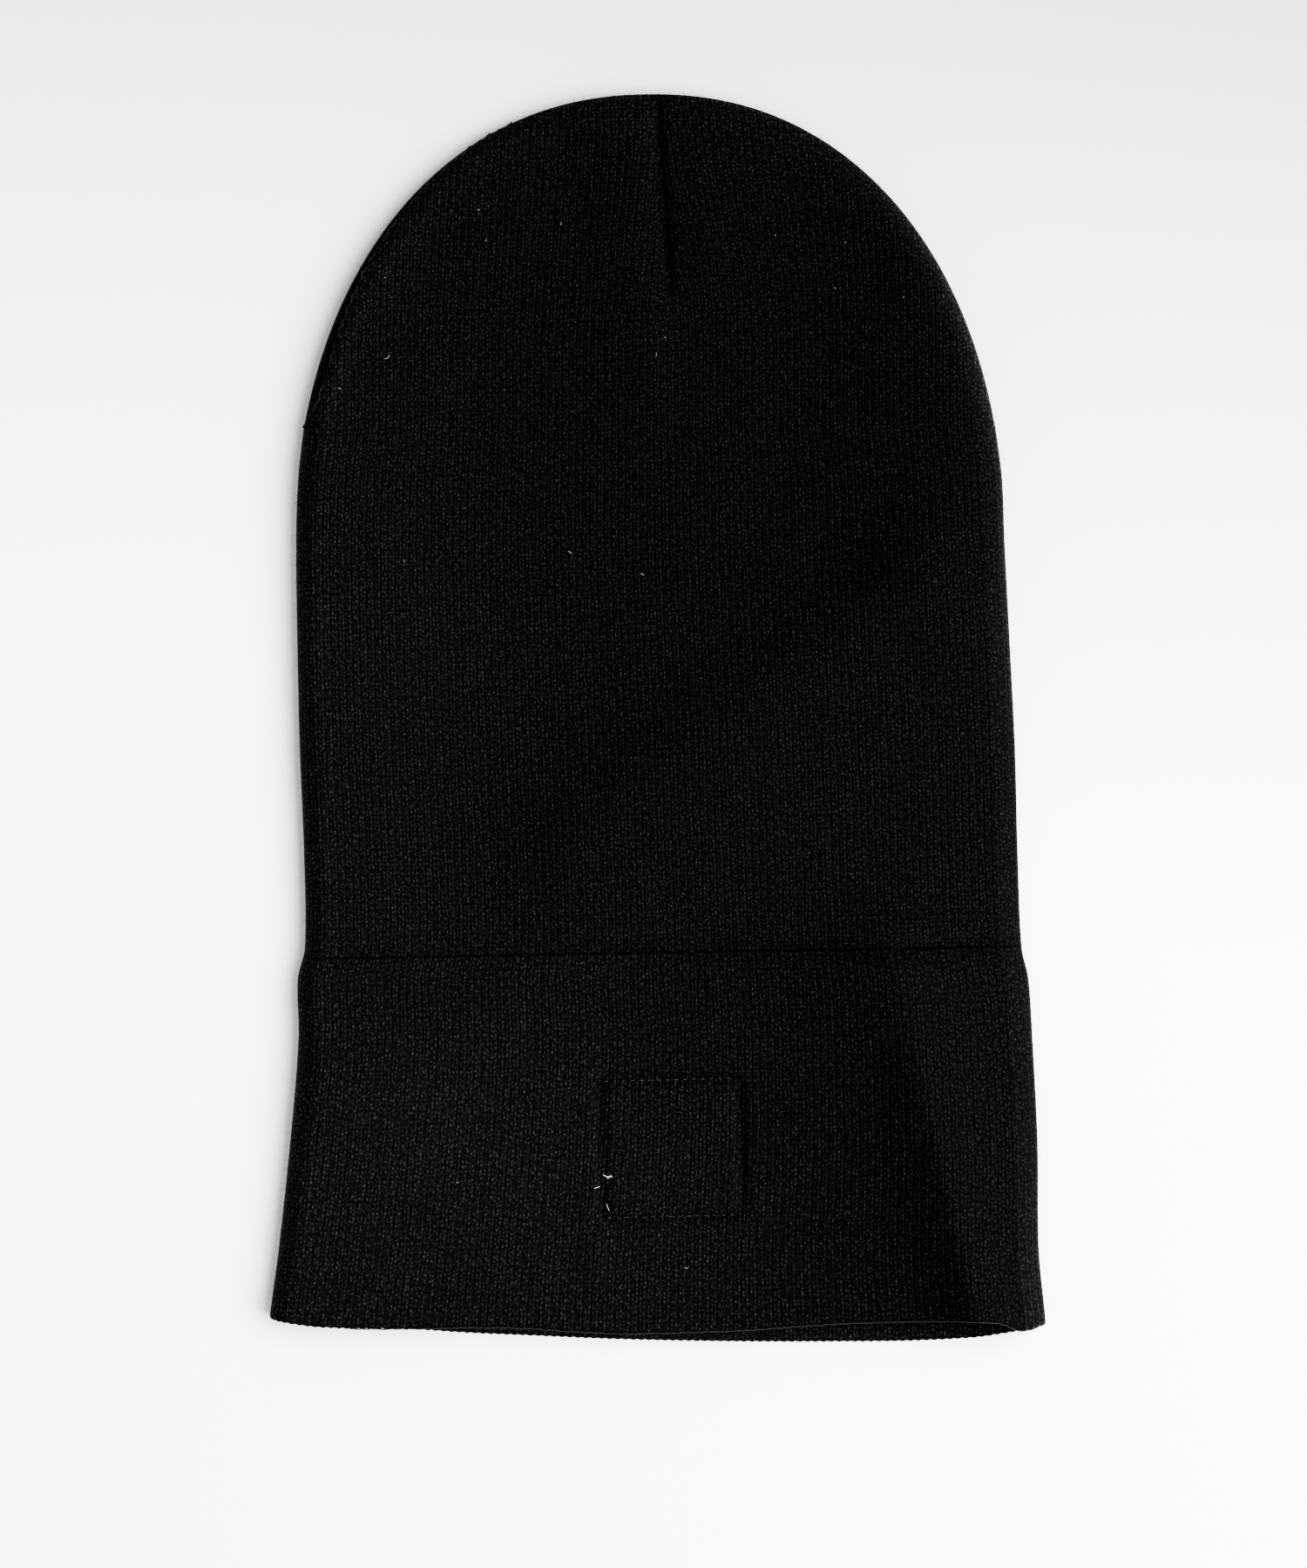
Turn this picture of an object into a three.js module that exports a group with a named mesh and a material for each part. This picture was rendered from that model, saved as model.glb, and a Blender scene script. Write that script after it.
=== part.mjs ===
// A long cuffed beanie of fine black rib knit, lying flat on its back with the cuff turned down.
// The crown is a tube closed by four seams: one at each side, a dart in front and a dart behind.
// Millimetres. +Z is up, +Y runs from the mouth to the top of the crown, +X is the wearer's left.
import * as THREE from 'three';

// Driving dimensions
const wall = 2.0; // thickness of the rib knit
const hollow = 5.2; // clear height between the two layers
const laidHeight = 2 * wall + hollow;
const edgeHeight = laidHeight / 2; // height at which the outline runs round the cap
const foldReach = 6.0; // how far the round of a side fold reaches in from the outline
const seamStart = 73.3; // height on the cap where the side seams begin
const capTop = 157.3; // top of the crown
const creaseMiddle = -59.2; // where the crease crosses the middle of the cap
const creaseTilt = 0.0182; // rise of the crease from left to right
const creaseGap = 0.3; // between crown and cuff
const creaseDepth = 0.5;
const creaseSpread = 2.2;
const dartDepth = 1.3;
const dartHalfWidth = 4.0;
const backShare = 0.4; // depth of the grooves behind, against those in front

// Outline of the sides, seen from the front: how far they lie from the middle at each height
const sides = [
  { y: -160.0, left: -98.6, right: 98.3 },
  { y: -152.0, left: -98.0, right: 98.0 },
  { y: -134.0, left: -95.6, right: 96.3 },
  { y: -107.0, left: -92.7, right: 96.0 },
  { y: -81.0, left: -90.6, right: 94.7 },
  { y: -66.0, left: -90.8, right: 93.7 },
  { y: -58.0, left: -89.0, right: 92.0 },
  { y: -35.0, left: -89.2, right: 91.0 },
  { y: -8.0, left: -90.3, right: 90.3 },
  { y: 18.0, left: -90.9, right: 89.0 },
  { y: 45.0, left: -91.2, right: 87.6 },
  { y: 60.0, left: -90.7, right: 87.0 },
  { y: 73.3, left: -89.3, right: 85.3 },
];

// Outline of the crown above the seam start: half of a rounded arch
const arch = { x: -1.1, y: 41.0, reachLeft: 90.7, reachRight: 88.9, roundness: 2.17 };

// Mouth edges, seen from the front: the back layer hangs lower than the front one
const mouth = [
  { x: -98.0, front: -151.6, back: -151.6 },
  { x: -84.0, front: -153.8, back: -154.0 },
  { x: -58.0, front: -154.6, back: -155.0 },
  { x: -20.0, front: -154.8, back: -156.0 },
  { x: 14.0, front: -155.4, back: -157.1 },
  { x: 45.0, front: -153.6, back: -157.3 },
  { x: 72.0, front: -152.7, back: -157.3 },
  { x: 86.0, front: -152.9, back: -156.2 },
  { x: 98.0, front: -152.4, back: -152.4 },
];

// The front dart leans a little: its lower end, its top, and how the groove runs out
const dart = { lowX: 3.2, lowY: 106.9, topX: -0.4, topY: capTop, runOut: 12.0 };

// Soft ridges of the front layer: from one end to the other, width of each flank, height at each end,
// and how the flanks fall: 1 straight from the crest, 2 rounded
const folds = [
  { x0: -5.5, y0: 158.0, x1: -2.8, y1: 92.0, left: 13.0, right: 3.6, h0: 1.8, h1: 1.1, fall: 1.7 },
  { x0: 62.0, y0: 32.5, x1: -20.0, y1: -31.0, left: 15.0, right: 34.0, h0: 4.2, h1: 3.8, fall: 1.5 },
  { x0: -32.0, y0: -66.0, x1: -78.0, y1: -97.0, left: 14.0, right: 16.0, h0: 1.7, h1: 1.6, fall: 1.7 },
  { x0: 60.0, y0: -66.0, x1: 82.0, y1: -156.0, left: 10.0, right: 22.0, h0: 0.5, h1: 4.6, fall: 1.3 },
  { x0: 60.0, y0: -66.0, x1: 82.0, y1: -156.0, left: 28.0, right: 26.0, h0: 5.2, h1: 5.0, fall: 1.2 },
];
const foldFade = 20.0; // how far a ridge runs on past its ends
const crest = 1.2; // half the width of a crest's rounding

// How far the front layer bows up beside each side fold
const bows = [
  { y: -160.0, left: 2.0, right: 0.0 },
  { y: -75.0, left: 2.0, right: 0.6 },
  { y: -20.0, left: 2.2, right: 0.8 },
  { y: 40.0, left: 2.2, right: 4.6 },
  { y: 75.0, left: 2.2, right: 6.2 },
  { y: 115.0, left: 1.6, right: 6.0 },
  { y: 145.0, left: 1.0, right: 3.6 },
];
const bow = { inset: 7.5, spreadLeft: 27.0, spreadRight: 30.0 };

// Mesh steps
const foldSteps = 4;
const halfSteps = 12; // from a side fold to the dart
const halfEase = 0.6; // crowds the steps towards the fold and the dart
const creaseRows = [0, 1.4, 3.6];
const crownRows = 15;
const seamRows = [6.2, 3.8, 1.8, 0.5, 0];
const cuffRows = 8;
const mouthRows = [2.5, 0];

const clamp = THREE.MathUtils.clamp;
const lerp = THREE.MathUtils.lerp;

// Value of one column of a table at a place, on a smooth curve through its rows
function along(table, place, at, column) {
  const last = table.length - 1;
  const spot = clamp(at, table[0][place], table[last][place]);
  const found = table.findIndex((row) => row[place] >= spot);
  const upper = Math.max(1, found);
  const slope = (i) => {
    const before = table[Math.max(0, i - 1)];
    const after = table[Math.min(last, i + 1)];
    return (after[column] - before[column]) / (after[place] - before[place]);
  };
  const low = table[upper - 1];
  const high = table[upper];
  const span = high[place] - low[place];
  const t = (spot - low[place]) / span;
  const blend = t * t * (3 - 2 * t);
  const leave = t * (1 - t) * (1 - t) * span * slope(upper - 1);
  const arrive = t * t * (t - 1) * span * slope(upper);
  return lerp(low[column], high[column], blend) + leave + arrive;
}

const leftSide = (y) => along(sides, 'y', y, 'left');
const rightSide = (y) => along(sides, 'y', y, 'right');
const creaseAt = (x) => creaseMiddle + creaseTilt * x;

// Height of the crown's seam above a point of the width
function archAt(x) {
  const reach = x < arch.x ? arch.reachLeft : arch.reachRight;
  const out = clamp(Math.abs(x - arch.x) / reach, 0, 1);
  const rise = capTop - arch.y;
  return arch.y + rise * Math.pow(1 - Math.pow(out, arch.roundness), 1 / arch.roundness);
}

// Distance from a point to the outline, exact enough within the round of a fold
function insetAt(x, y) {
  const fromSides = Math.min(x - leftSide(y), rightSide(y) - x);
  if (y < seamStart) {
    return Math.max(0, fromSides);
  }
  const reach = x < arch.x ? arch.reachLeft : arch.reachRight;
  const rise = capTop - arch.y;
  const across = Math.abs(x - arch.x);
  const up = y - arch.y;
  const size = Math.pow(across / reach, arch.roundness) + Math.pow(up / rise, arch.roundness);
  const scale = Math.pow(size, 1 / arch.roundness);
  const slopeX = Math.pow(across / reach, arch.roundness - 1) / reach;
  const slopeY = Math.pow(up / rise, arch.roundness - 1) / rise;
  const outward = (across * slopeX + up * slopeY) / Math.hypot(slopeX, slopeY);
  return Math.max(0, (1 / scale - 1) * outward);
}

// Share of full height at a distance from the outline: a quarter round
function roundAt(inset) {
  const out = 1 - clamp(inset / foldReach, 0, 1);
  return Math.sqrt(Math.max(0, 1 - out * out));
}

const dartX = (y) => lerp(dart.lowX, dart.topX, clamp((y - dart.lowY) / (dart.topY - dart.lowY), 0, 1));

function dartGroove(x, y) {
  const across = clamp(1 - Math.abs(x - dartX(y)) / dartHalfWidth, 0, 1);
  const start = clamp((y - dart.lowY + dart.runOut) / (2 * dart.runOut), 0, 1);
  return dartDepth * across * start;
}

function creaseGroove(x, y) {
  const off = (y - creaseAt(x)) / creaseSpread;
  return creaseDepth * Math.exp(-off * off);
}

const bell = (off, width) => Math.exp(-((off / width) ** 2));

// Height of one soft ridge at a point: it falls to both sides of its crest and fades past its ends
function foldHeight(fold, x, y) {
  const runX = fold.x1 - fold.x0;
  const runY = fold.y1 - fold.y0;
  const length = Math.hypot(runX, runY);
  const share = ((x - fold.x0) * runX + (y - fold.y0) * runY) / (length * length);
  const across = ((x - fold.x0) * runY - (y - fold.y0) * runX) / length;
  const onLeft = across * Math.sign(runY) < 0;
  const width = onLeft ? fold.left : fold.right;
  const past = Math.max(0, -share, share - 1) * length;
  const height = lerp(fold.h0, fold.h1, clamp(share, 0, 1));
  const fromCrest = Math.hypot(across, crest) - crest;
  return height * bell(past, foldFade) * Math.exp(-((fromCrest / width) ** fold.fall));
}

// Bow of the front layer beside the side folds
function bowHeight(x, y) {
  const fromLeft = Math.max(0, x - leftSide(y) - bow.inset);
  const fromRight = Math.max(0, rightSide(y) - x - bow.inset);
  const onLeft = along(bows, 'y', y, 'left') * bell(fromLeft, bow.spreadLeft);
  return onLeft + along(bows, 'y', y, 'right') * bell(fromRight, bow.spreadRight);
}

function frontHeight(x, y) {
  const inset = insetAt(x, y);
  const soft = clamp(inset / foldReach, 0, 1);
  const relief = folds.reduce((sum, fold) => sum + foldHeight(fold, x, y), 0);
  const rise = laidHeight - edgeHeight + bowHeight(x, y);
  return edgeHeight + rise * roundAt(inset) + soft * (relief - dartGroove(x, y) - creaseGroove(x, y));
}

function backHeight(x, y) {
  const inset = insetAt(x, y);
  const soft = clamp(inset / foldReach, 0, 1);
  const groove = backShare * (dartGroove(x, y) + creaseGroove(x, y));
  return edgeHeight * (1 - roundAt(inset)) + soft * groove;
}

// Columns run up the cap, from one side fold to the dart: each gives its place across at a height
function halfColumns(sideAt, inward) {
  const made = [];
  for (let i = 0; i < foldSteps; i += 1) {
    const turn = (i / foldSteps) * (Math.PI / 2);
    made.push((y) => sideAt(y) + inward * foldReach * (1 - Math.cos(turn)));
  }
  for (let i = 0; i < halfSteps; i += 1) {
    const even = i / halfSteps;
    const share = lerp(even, (1 - Math.cos(Math.PI * even)) / 2, halfEase);
    made.push((y) => lerp(sideAt(y) + inward * foldReach, dartX(y), share));
  }
  return made;
}

const columns = [...halfColumns(leftSide, 1), dartX, ...halfColumns(rightSide, -1).toReversed()];

// Heights of the rows on one column: fixed steps near both ends and even steps between
function rowHeights(low, high, lowSteps, evenCount, highSteps) {
  const first = low + lowSteps.at(-1);
  const last = high - highSteps[0];
  const even = [];
  for (let i = 1; i < evenCount; i += 1) {
    even.push(lerp(first, last, i / evenCount));
  }
  return [...lowSteps.map((s) => low + s), ...even, ...highSteps.map((s) => high - s)];
}

// Where a column of the crown meets the seam
function columnTop(column) {
  let y = archAt(column(capTop));
  for (let i = 0; i < 12; i += 1) {
    y = archAt(column(y));
  }
  return Math.max(seamStart, y);
}

const crownColumn = (column) => {
  const low = creaseAt(column(creaseMiddle)) + creaseGap / 2;
  return rowHeights(low, columnTop(column), creaseRows, crownRows, seamRows);
};

const cuffColumn = (layer) => (column) => {
  const high = creaseAt(column(creaseMiddle)) - creaseGap / 2;
  const low = along(mouth, 'x', column(mouth[0][layer]), layer);
  return rowHeights(low, high, mouthRows.toReversed(), cuffRows, creaseRows.toReversed());
};

// Points of one layer, column by column from left to right and row by row from the mouth up
function layerPoints(heightAt, rowsOf) {
  return columns.map((column) =>
    rowsOf(column).map((y) => {
      const x = column(y);
      return new THREE.Vector3(x, y, heightAt(x, y));
    }),
  );
}

// A closed shell of knit: the outer face, the inner face one wall further in, and rims at the open ends
function knitShell(front, back, { closedTop }) {
  const last = columns.length - 1;
  const ring = 2 * last;
  const rowCount = front[0].length;
  const outer = [];
  for (let row = 0; row < rowCount; row += 1) {
    for (let k = 0; k < ring; k += 1) {
      outer.push(k <= last ? front[k][row] : back[ring - k][row]);
    }
  }
  const joined = (k, row) => {
    const turned = (k + ring) % ring;
    const seam = closedTop && row === rowCount - 1;
    return row * ring + (seam ? Math.min(turned, ring - turned) : turned);
  };
  const skin = [];
  for (let row = 0; row < rowCount - 1; row += 1) {
    for (let k = 0; k < ring; k += 1) {
      const a = joined(k, row);
      const b = joined(k + 1, row);
      const c = joined(k + 1, row + 1);
      const d = joined(k, row + 1);
      skin.push(a, b, c, a, c, d);
    }
  }
  const inner = insidePoints(outer, skin, ring, closedTop);
  const offset = outer.length;
  const faces = [...skin];
  for (let i = 0; i < skin.length; i += 3) {
    faces.push(skin[i] + offset, skin[i + 2] + offset, skin[i + 1] + offset);
  }
  const rims = closedTop ? [0] : [0, rowCount - 1];
  for (const row of rims) {
    for (let k = 0; k < ring; k += 1) {
      const here = joined(k, row);
      const next = joined(k + 1, row);
      const quad = [here, here + offset, next + offset, here, next + offset, next];
      faces.push(...(row === 0 ? quad : quad.toReversed()));
    }
  }
  const geometry = new THREE.BufferGeometry();
  geometry.setFromPoints([...outer, ...inner]);
  geometry.setIndex(faces);
  const welded = usedPointsOnly(geometry);
  welded.computeVertexNormals();
  return welded;
}

// The inner face: each outer point moved in by the wall. The cut ends stay in their own planes.
function insidePoints(outer, skin, ring, closedTop) {
  const geometry = new THREE.BufferGeometry();
  geometry.setFromPoints(outer);
  geometry.setIndex(skin);
  geometry.computeVertexNormals();
  const normals = geometry.getAttribute('normal');
  return outer.map((point, i) => {
    const normal = new THREE.Vector3().fromBufferAttribute(normals, i);
    const atEnd = i < ring || (!closedTop && i >= outer.length - ring);
    if (atEnd) {
      normal.y = 0;
    }
    normal.normalize();
    return point.clone().addScaledVector(normal, -wall);
  });
}

// The same geometry without the points that no face uses
function usedPointsOnly(geometry) {
  const position = geometry.getAttribute('position');
  const renumbered = new Map();
  const points = [];
  const index = Array.from(geometry.index.array, (old) => {
    if (!renumbered.has(old)) {
      renumbered.set(old, points.length);
      points.push(new THREE.Vector3().fromBufferAttribute(position, old));
    }
    return renumbered.get(old);
  });
  const lean = new THREE.BufferGeometry();
  lean.setFromPoints(points);
  lean.setIndex(index);
  return lean;
}

function knitMesh(name, geometry) {
  const material = new THREE.MeshStandardMaterial({ color: 0x101112, roughness: 0.95, metalness: 0 });
  const mesh = new THREE.Mesh(geometry, material);
  mesh.name = name;
  return mesh;
}

function makeCrown() {
  const front = layerPoints(frontHeight, crownColumn);
  const back = layerPoints(backHeight, crownColumn);
  return knitMesh('crown', knitShell(front, back, { closedTop: true }));
}

function makeCuff() {
  const front = layerPoints(frontHeight, cuffColumn('front'));
  const back = layerPoints(backHeight, cuffColumn('back'));
  return knitMesh('cuff', knitShell(front, back, { closedTop: false }));
}

const beanie = new THREE.Group();
beanie.add(makeCrown(), makeCuff());

export default beanie;
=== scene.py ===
import math
import bpy
import numpy as np
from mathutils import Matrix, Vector


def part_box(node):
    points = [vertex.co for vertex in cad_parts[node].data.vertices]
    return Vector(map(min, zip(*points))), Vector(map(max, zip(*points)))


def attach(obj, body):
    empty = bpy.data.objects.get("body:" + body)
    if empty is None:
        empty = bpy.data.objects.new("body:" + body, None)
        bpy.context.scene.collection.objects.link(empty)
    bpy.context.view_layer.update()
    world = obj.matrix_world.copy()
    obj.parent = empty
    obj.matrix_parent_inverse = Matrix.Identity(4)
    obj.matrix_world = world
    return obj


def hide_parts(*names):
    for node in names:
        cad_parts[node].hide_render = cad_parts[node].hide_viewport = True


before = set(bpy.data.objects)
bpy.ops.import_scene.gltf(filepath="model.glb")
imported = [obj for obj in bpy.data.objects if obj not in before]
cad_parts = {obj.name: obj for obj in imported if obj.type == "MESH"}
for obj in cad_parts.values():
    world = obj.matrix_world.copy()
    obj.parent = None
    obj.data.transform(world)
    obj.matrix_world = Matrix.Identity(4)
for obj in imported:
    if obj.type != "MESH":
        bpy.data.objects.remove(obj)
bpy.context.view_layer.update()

mm = 0.001  # the shape below is worked out in millimetres, as the cap was measured
_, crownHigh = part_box("crown")
cuffLow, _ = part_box("cuff")
capTop = crownHigh[1] / mm
print("stage: frame read, the cap is", round((crownHigh[1] - cuffLow[1]) / mm), "mm long")


def rowsOf(names, rows):  # a table: one dictionary for each row of numbers
    return [dict(zip(names.split(), row)) for row in rows]


# The form of the cap lying flat, as the CAD has it. The pressed crease is shallower at the left.
cap = {
    "wall": 2.0, "laidHeight": 9.2, "edgeHeight": 4.6, "foldReach": 6.0, "backShare": 0.4,
    "seamStart": 73.3, "creaseMiddle": -59.2, "creaseTilt": 0.0182, "creaseDepth": 1.0, "creaseUp": 2.0,
    "creaseDown": 2.9, "creaseLeft": 0.35, "creaseGrows": 140.0,
}
# Both side folds and both layers of the mouth edge, as smooth curves through these spots
sides = rowsOf("y left right", [
    (-160.0, -98.6, 98.3), (-152.0, -98.0, 98.0), (-134.0, -95.6, 96.3), (-107.0, -92.7, 96.0),
    (-81.0, -90.6, 94.7), (-66.0, -90.8, 93.7), (-58.0, -89.0, 92.0), (-35.0, -89.2, 91.0),
    (-8.0, -90.3, 90.3), (18.0, -90.9, 89.0), (45.0, -91.2, 87.6), (60.0, -90.7, 87.0),
    (73.3, -89.3, 85.3),
])
mouth = rowsOf("x front back", [
    (-98.0, -151.2, -151.2), (-84.0, -153.0, -153.3), (-60.0, -153.4, -154.5), (-48.0, -153.1, -155.3),
    (-34.0, -153.3, -155.9), (-13.0, -154.6, -156.8), (2.0, -154.5, -157.2), (23.0, -153.7, -157.5),
    (45.0, -152.1, -157.5), (64.0, -151.3, -157.3), (80.0, -150.9, -156.5), (86.0, -151.3, -155.7),
    (91.0, -153.2, -154.8), (98.0, -152.8, -152.8),
])
# The crown's outline, and how far in from it the left seam lies, where it has rolled to the front
outline = {"x": -1.1, "y": 41.0, "left": 90.7, "right": 88.9, "rise": capTop - 41.0, "round": 2.17}
rolled = rowsOf("y in", [
    (73.3, 0.0), (79.0, 2.3), (88.0, 2.8), (102.0, 2.2), (117.0, 1.5), (138.0, 0.7), (151.0, 0.0),
])
seam = {"depth": 0.55, "reach": 1.2, "least": 0.15, "ribFade": 1.5}
# The dart: its line, the groove along it, the painted shade darkening the knit beside it, and how the wales
# lean in to it
dart = {
    "lowY": 106.9, "topX": -0.4, "depth": 0.75, "left": 2.4, "right": 2.1, "tuck": 0.5, "tuckLeft": 3.0,
    "tuckRight": 6.0, "runOut": 16.0, "ribFade": 1.2,
    "shade": 0.42, "shadeReach": 1.5, "shadeAside": 0.7, "shadeRunOut": 4.0,
    "followReach": 40.0, "leanStart": 91.0, "leanLeft": 8.8, "leanRight": 6.3, "leanReach": 46.0,
}
# Soft ridges of the front layer: ends of the crest, width of each flank, height at each end, and how the
# flanks fall (1 straight from the crest, 2 rounded)
folds = rowsOf("x0 y0 x1 y1 left right h0 h1 fall", [
    (-5.5, 158.0, -2.8, 92.0, 13.0, 3.6, 1.8, 1.1, 1.7),
    (62.0, 32.5, -20.0, -31.0, 15.0, 34.0, 4.2, 3.8, 1.5),
    (-32.0, -66.0, -78.0, -97.0, 14.0, 16.0, 1.7, 1.6, 1.7),
    (60.0, -66.0, 82.0, -156.0, 10.0, 22.0, 0.5, 4.6, 1.3),
    (60.0, -66.0, 82.0, -156.0, 28.0, 26.0, 5.2, 5.0, 1.2),
    (-17.0, -94.0, -16.2, -121.0, 3.0, 1.8, 0.38, 0.3, 1.7),
])
foldFade = 20.0  # how far a ridge runs out past its ends
crest = 1.2  # half the width of a crest's rounding
# How far the front stands up beside each side fold, sagging between them
bows = rowsOf("y left right", [
    (-160.0, 2.0, 0.0), (-75.0, 2.0, 0.6), (-20.0, 2.2, 0.8), (40.0, 2.2, 4.6),
    (75.0, 2.2, 6.2), (115.0, 1.6, 6.0), (145.0, 1.0, 3.6),
])
bow = {"inset": 7.5, "spreadLeft": 27.0, "spreadRight": 30.0}
# The sewn square on the cuff: the back of a stitching line, and painted shade in the knit along its groove
square = {
    "x": 3.6, "y": -108.4, "halfX": 17.3, "halfY": 17.2, "corner": 2.6, "turn": 0.025,
    "sideDepth": 0.72, "sideReach": 1.6, "endDepth": 0.5, "endReach": 0.6, "sideSharp": 5.0,
    "lift": 0.3, "liftOver": 3.0, "shade": 0.3, "shadeOut": 0.5, "shadeReach": 0.9,
}
# The knit: columns of points over the flat and round each side fold, ribs, and the height of a stitch
knit = {"flatColumns": 368, "roundColumns": 18, "perRib": 4, "dartColumn": 214, "ribDepth": 0.16,
        "legDip": 0.28, "liningRibs": 0.3, "courseCrown": 1.09, "courseCuff": 1.135}
# Painted light and shade: broad soft differences in the knit's tone, paler left and darker right of a soft
# border that crosses the cap
paintedLightAndShade = rowsOf("y x left right", [
    (-156.0, 25.0, 1.25, 0.98), (-110.0, 12.0, 1.36, 0.95), (-75.0, -8.0, 1.27, 0.98),
    (-20.0, -32.0, 1.22, 0.99), (40.0, -42.0, 1.27, 0.97), (90.0, -42.0, 1.17, 0.96),
    (150.0, -30.0, 1.06, 0.98),
])
paintedLightBorder = 26.0  # how softly one side runs into the other
# Painted light: paler along the left fold and seam and at the left edge, which turn from the light, at the
# crown's right rim, and on the strip of the back layer that shows at the mouth under the raised front;
# painted
# shade: darker outside the left seam
paintedFoldLightAndShade = {
    "lift": 0.75, "reach": 4.5, "edgeLift": 0.7, "edgeReach": 1.2,
    "rightLift": 0.7, "rightReach": 3.0, "rightFrom": 50.0, "rightOver": 40.0,
    "outside": 0.45, "outsideOver": 0.6, "backStrip": 0.5, "stripUp": 0.4, "stripOver": 0.6,
}
paleStep = {"y": 30.0, "over": 1.0, "less": 0.05}  # the knit is a little darker above a line across the cap
# Long soft waves all over, as in cloth that was laid down by hand
uneven = {"seed": 11, "waves": 16, "shortest": 10.0, "longest": 45.0, "height": 0.16}


# Shape functions. All take and give numpy arrays, in millimetres.

def along(rows, place, column, at):  # a smooth curve through one column of a table
    spots = np.array([row[place] for row in rows])
    values = np.array([row[column] for row in rows])
    last = len(rows) - 1
    before = np.maximum(np.arange(last + 1) - 1, 0)
    after = np.minimum(np.arange(last + 1) + 1, last)
    slopes = (values[after] - values[before]) / (spots[after] - spots[before])
    at = np.clip(at, spots[0], spots[-1])
    high = np.clip(np.searchsorted(spots, at), 1, last)
    low = high - 1
    span = spots[high] - spots[low]
    t = (at - spots[low]) / span
    level = values[low] + (values[high] - values[low]) * t * t * (3 - 2 * t)
    return level + span * (t * (1 - t) ** 2 * slopes[low] + t * t * (t - 1) * slopes[high])


def leftSide(y):
    return along(sides, "y", "left", y)


def rightSide(y):
    return along(sides, "y", "right", y)


def smooth(t):
    t = np.clip(t, 0, 1)
    return t * t * (3 - 2 * t)


def creaseAt(x):
    return cap["creaseMiddle"] + cap["creaseTilt"] * x


def insideOutline(x, y):  # signed distance from the crown's outline, positive inside it
    reach = np.where(x < outline["x"], outline["left"], outline["right"])
    power = outline["round"]
    across = np.maximum(np.abs(x - outline["x"]), 1e-6)
    up = np.maximum(y - outline["y"], 1e-6)
    size = ((across / reach) ** power + (up / outline["rise"]) ** power) ** (1 / power)
    slopeX = (across / reach) ** (power - 1) / reach
    slopeY = (up / outline["rise"]) ** (power - 1) / outline["rise"]
    return (1 / size - 1) * (across * slopeX + up * slopeY) / np.hypot(slopeX, slopeY)


def rolledIn(x, y):
    return np.where(x < outline["x"], np.maximum(along(rolled, "y", "in", y), 0), 0)


def insetAt(x, y):  # distance to the outline
    fromSides = np.minimum(x - leftSide(y), rightSide(y) - x)
    return np.maximum(np.where(y < cap["seamStart"], fromSides, insideOutline(x, y)), 0)


def roundAt(inset):
    out = 1 - np.clip(inset / cap["foldReach"], 0, 1)
    return np.sqrt(np.maximum(1 - out * out, 0))


def lip(distance, reach):  # 1 in a seam, rolling off to 0 on both sides of it
    out = 1 - np.clip(np.abs(distance) / reach, 0, 1)
    return 1 - np.sqrt(np.maximum(1 - out * out, 0))


def bell(distance, width):
    return np.exp(-(distance / width) ** 2)


def dartShare(y):
    return np.clip((y - dart["lowY"]) / (capTop - dart["lowY"]), 0, 1)


def dartX(y):
    return dart["baseX"] + (dart["topX"] - dart["baseX"]) * dartShare(y)


def foldHeight(fold, x, y):
    runX = fold["x1"] - fold["x0"]
    runY = fold["y1"] - fold["y0"]
    length = math.hypot(runX, runY)
    share = ((x - fold["x0"]) * runX + (y - fold["y0"]) * runY) / length ** 2
    across = ((x - fold["x0"]) * runY - (y - fold["y0"]) * runX) / length
    width = np.where(across * math.copysign(1, runY) < 0, fold["left"], fold["right"])
    past = np.maximum(np.maximum(-share, share - 1), 0) * length
    height = fold["h0"] + (fold["h1"] - fold["h0"]) * np.clip(share, 0, 1)
    across = np.sqrt(across ** 2 + crest ** 2) - crest
    return height * bell(past, foldFade) * np.exp(-(across / width) ** fold["fall"])


def bowHeight(x, y):
    fromLeft = np.maximum(x - leftSide(y) - bow["inset"], 0)
    fromRight = np.maximum(rightSide(y) - x - bow["inset"], 0)
    onLeft = along(bows, "y", "left", y) * bell(fromLeft, bow["spreadLeft"])
    return onLeft + along(bows, "y", "right", y) * bell(fromRight, bow["spreadRight"])


def squareDistance(x, y):  # signed distance from the sewn square's outline, negative inside it
    turnX = math.cos(square["turn"])
    turnY = math.sin(square["turn"])
    alongX = (x - square["x"]) * turnX + (y - square["y"]) * turnY
    alongY = (y - square["y"]) * turnX - (x - square["x"]) * turnY
    outX = np.abs(alongX) - square["halfX"] + square["corner"]
    outY = np.abs(alongY) - square["halfY"] + square["corner"]
    corner = np.hypot(np.maximum(outX, 0), np.maximum(outY, 0))
    return corner + np.minimum(np.maximum(outX, outY), 0) - square["corner"]


def squareHeight(x, y):
    off = squareDistance(x, y)
    outX = np.abs(x - square["x"]) / square["halfX"]
    outY = np.abs(y - square["y"]) / square["halfY"]
    side = smooth(0.5 + (outX - outY) * square["sideSharp"])
    depth = square["endDepth"] + (square["sideDepth"] - square["endDepth"]) * side
    reach = square["endReach"] + (square["sideReach"] - square["endReach"]) * side
    return square["lift"] * smooth(0.5 - off / square["liftOver"]) - depth * bell(off, reach)


def makeWaves():  # lengths, directions and phases, random but the same each time
    rng = np.random.default_rng(uneven["seed"])
    count = uneven["waves"]
    lengths = uneven["shortest"] * (uneven["longest"] / uneven["shortest"]) ** rng.random(count)
    turns = rng.random(count) * math.pi
    phases = rng.random(count) * 2 * math.pi
    return lengths, turns, phases


waveLengths, waveTurns, wavePhases = makeWaves()


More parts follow.
